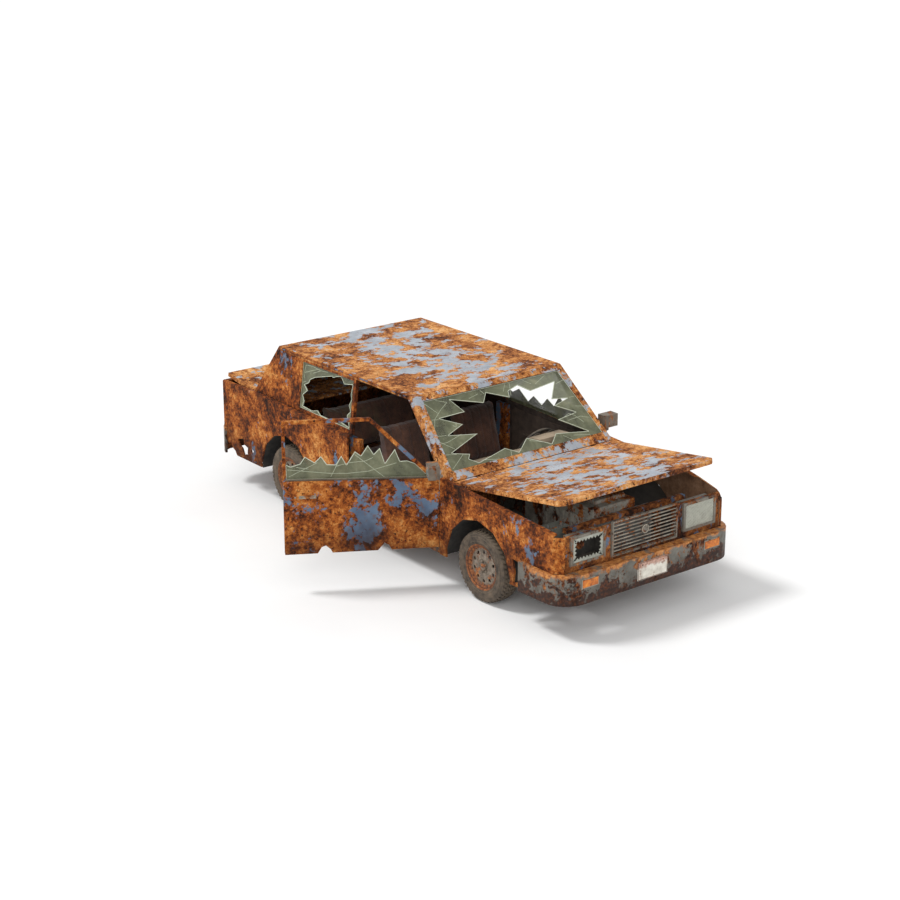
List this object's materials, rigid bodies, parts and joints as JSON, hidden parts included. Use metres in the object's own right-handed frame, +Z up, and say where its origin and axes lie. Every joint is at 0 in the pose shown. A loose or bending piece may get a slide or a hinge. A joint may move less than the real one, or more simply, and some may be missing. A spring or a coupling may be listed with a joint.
{
  "type": "rusted two-door saloon car wreck",
  "caption": "Abandoned rusted two-door saloon with broken glass, an open door, ajar hood and trunk lid, free wheels and working steering.",
  "frame": {"origin": "on the ground midway between the two axles, on the car's centre line", "axes": "+Z up, the car's front faces -Y, its left side is +X"},
  "size_m": [2.944, 4.73, 1.414],
  "materials": {
    "rusted_paint": "faded blue-grey paint, most of it lost to orange and brown rust",
    "faded_paint": "faded blue-grey paint with rust runs",
    "rusted_steel": "bare steel, dark brown rust",
    "weathered_trim": "dull grey, pitted and rust stained",
    "dirty_glass": "dirty grey-green, cracked and broken",
    "lamp_plastic": "faded amber and red lenses",
    "plate_enamel": "blank, faded white enamel with rust spots",
    "engine_iron": "dusty grey iron with rust",
    "battery_case": "dusty dark grey",
    "dull_aluminium": "dull, dusty",
    "cabin_plastic": "sun-bleached brown",
    "wheel_plastic": "dusty black",
    "seat_fabric": "worn brown cloth",
    "old_tyre": "dusty, cracked rubber",
    "rusted_rim": "brown steel with remains of grey paint"
  },
  "bodies": {
    "body": {"floor_pan": "rusted_steel", "trunk_floor": "rusted_steel", "chassis_legs": "rusted_steel", "firewall": "rusted_steel", "fender_right": "rusted_paint", "fender_left": "rusted_paint", "front_wheel_tubs": "rusted_steel", "rear_wheel_tubs": "rusted_steel", "quarter_right": "rusted_paint", "quarter_left": "rusted_paint", "roof": "rusted_paint", "windshield_frame": "rusted_paint", "door_pillars": "faded_paint", "rear_deck": "rusted_paint", "rear_panel": "rusted_paint", "nose_panel": "rusted_steel", "windshield": "dirty_glass", "rear_window": "dirty_glass", "quarter_glass": "dirty_glass", "radiator": "dull_aluminium", "grille": "weathered_trim", "headlights": "weathered_trim", "signal_lamps": "lamp_plastic", "front_bumper": "weathered_trim", "rear_bumper": "weathered_trim", "number_plates": "plate_enamel", "engine": "engine_iron", "battery": "battery_case", "dashboard": "cabin_plastic", "driver_seat": "seat_fabric", "passenger_seat": "seat_fabric", "rear_seat": "seat_fabric", "front_axle": "rusted_steel", "rear_axle": "rusted_steel", "drive_shaft": "rusted_steel", "fuel_tank": "rusted_steel", "exhaust": "rusted_steel"},
    "door_right": {"door_right": "rusted_paint", "door_right_glass": "dirty_glass", "mirror_right": "weathered_trim"},
    "door_left": {"door_left": "rusted_paint", "door_left_glass": "dirty_glass", "mirror_left": "weathered_trim"},
    "hood": {"hood": "rusted_paint"},
    "trunk_lid": {"trunk_lid": "rusted_paint"},
    "knuckle_right": {"knuckle_right": "rusted_steel"},
    "knuckle_left": {"knuckle_left": "rusted_steel"},
    "wheel_front_right": {"tyre_front_right": "old_tyre", "rim_front_right": "rusted_rim"},
    "wheel_front_left": {"tyre_front_left": "old_tyre", "rim_front_left": "rusted_rim"},
    "wheel_rear_right": {"tyre_rear_right": "old_tyre", "rim_rear_right": "rusted_rim"},
    "wheel_rear_left": {"tyre_rear_left": "old_tyre", "rim_rear_left": "rusted_rim"},
    "steering_wheel": {"steering_wheel": "wheel_plastic"}
  },
  "joints": [
    {"name": "door_right_swing", "type": "hinge", "parent": "body", "child": "door_right", "pos_m": [-0.862, -0.83, 0.6], "axis": [0, 0, 1], "range_deg": [-60, 8]},
    {"name": "door_left_swing", "type": "hinge", "parent": "body", "child": "door_left", "pos_m": [0.862, -0.83, 0.6], "axis": [0, 0, -1], "range_deg": [0, 68]},
    {"name": "hood_lift", "type": "hinge", "parent": "body", "child": "hood", "pos_m": [0, -0.977, 0.879], "axis": [-1, 0, 0], "range_deg": [-11, 45]},
    {"name": "trunk_lift", "type": "hinge", "parent": "body", "child": "trunk_lid", "pos_m": [0, 1.856, 0.947], "axis": [1, 0, 0], "range_deg": [-10, 50]},
    {"name": "steer_left", "type": "hinge", "parent": "body", "child": "knuckle_left", "pos_m": [0.64, -1.308, 0.288], "axis": [0, 0, 1], "range_deg": [-32, 32]},
    {"name": "steer_right", "type": "hinge", "parent": "body", "child": "knuckle_right", "pos_m": [-0.64, -1.308, 0.288], "axis": [0, 0, 1], "range_deg": [-32.1, 32.1]},
    {"name": "steering_wheel_turn", "type": "hinge", "parent": "body", "child": "steering_wheel", "pos_m": [0.375, -0.53, 0.8], "axis": [0, 0.9063, 0.4226], "range_deg": [-513, 513]},
    {"name": "spin_front_left", "type": "hinge", "parent": "knuckle_left", "child": "wheel_front_left", "pos_m": [0.758, -1.308, 0.288], "axis": [1, 0, 0], "continuous": true},
    {"name": "spin_front_right", "type": "hinge", "parent": "knuckle_right", "child": "wheel_front_right", "pos_m": [-0.758, -1.308, 0.288], "axis": [1, 0, 0], "continuous": true},
    {"name": "spin_rear_left", "type": "hinge", "parent": "body", "child": "wheel_rear_left", "pos_m": [0.758, 1.308, 0.288], "axis": [1, 0, 0], "continuous": true},
    {"name": "spin_rear_right", "type": "hinge", "parent": "body", "child": "wheel_rear_right", "pos_m": [-0.758, 1.308, 0.288], "axis": [1, 0, 0], "continuous": true}
  ],
  "couplings": [
    {"joint": "steer_right", "follows": "steer_left", "ratio": 1},
    {"joint": "steering_wheel_turn", "follows": "steer_left", "ratio": 16}
  ]
}
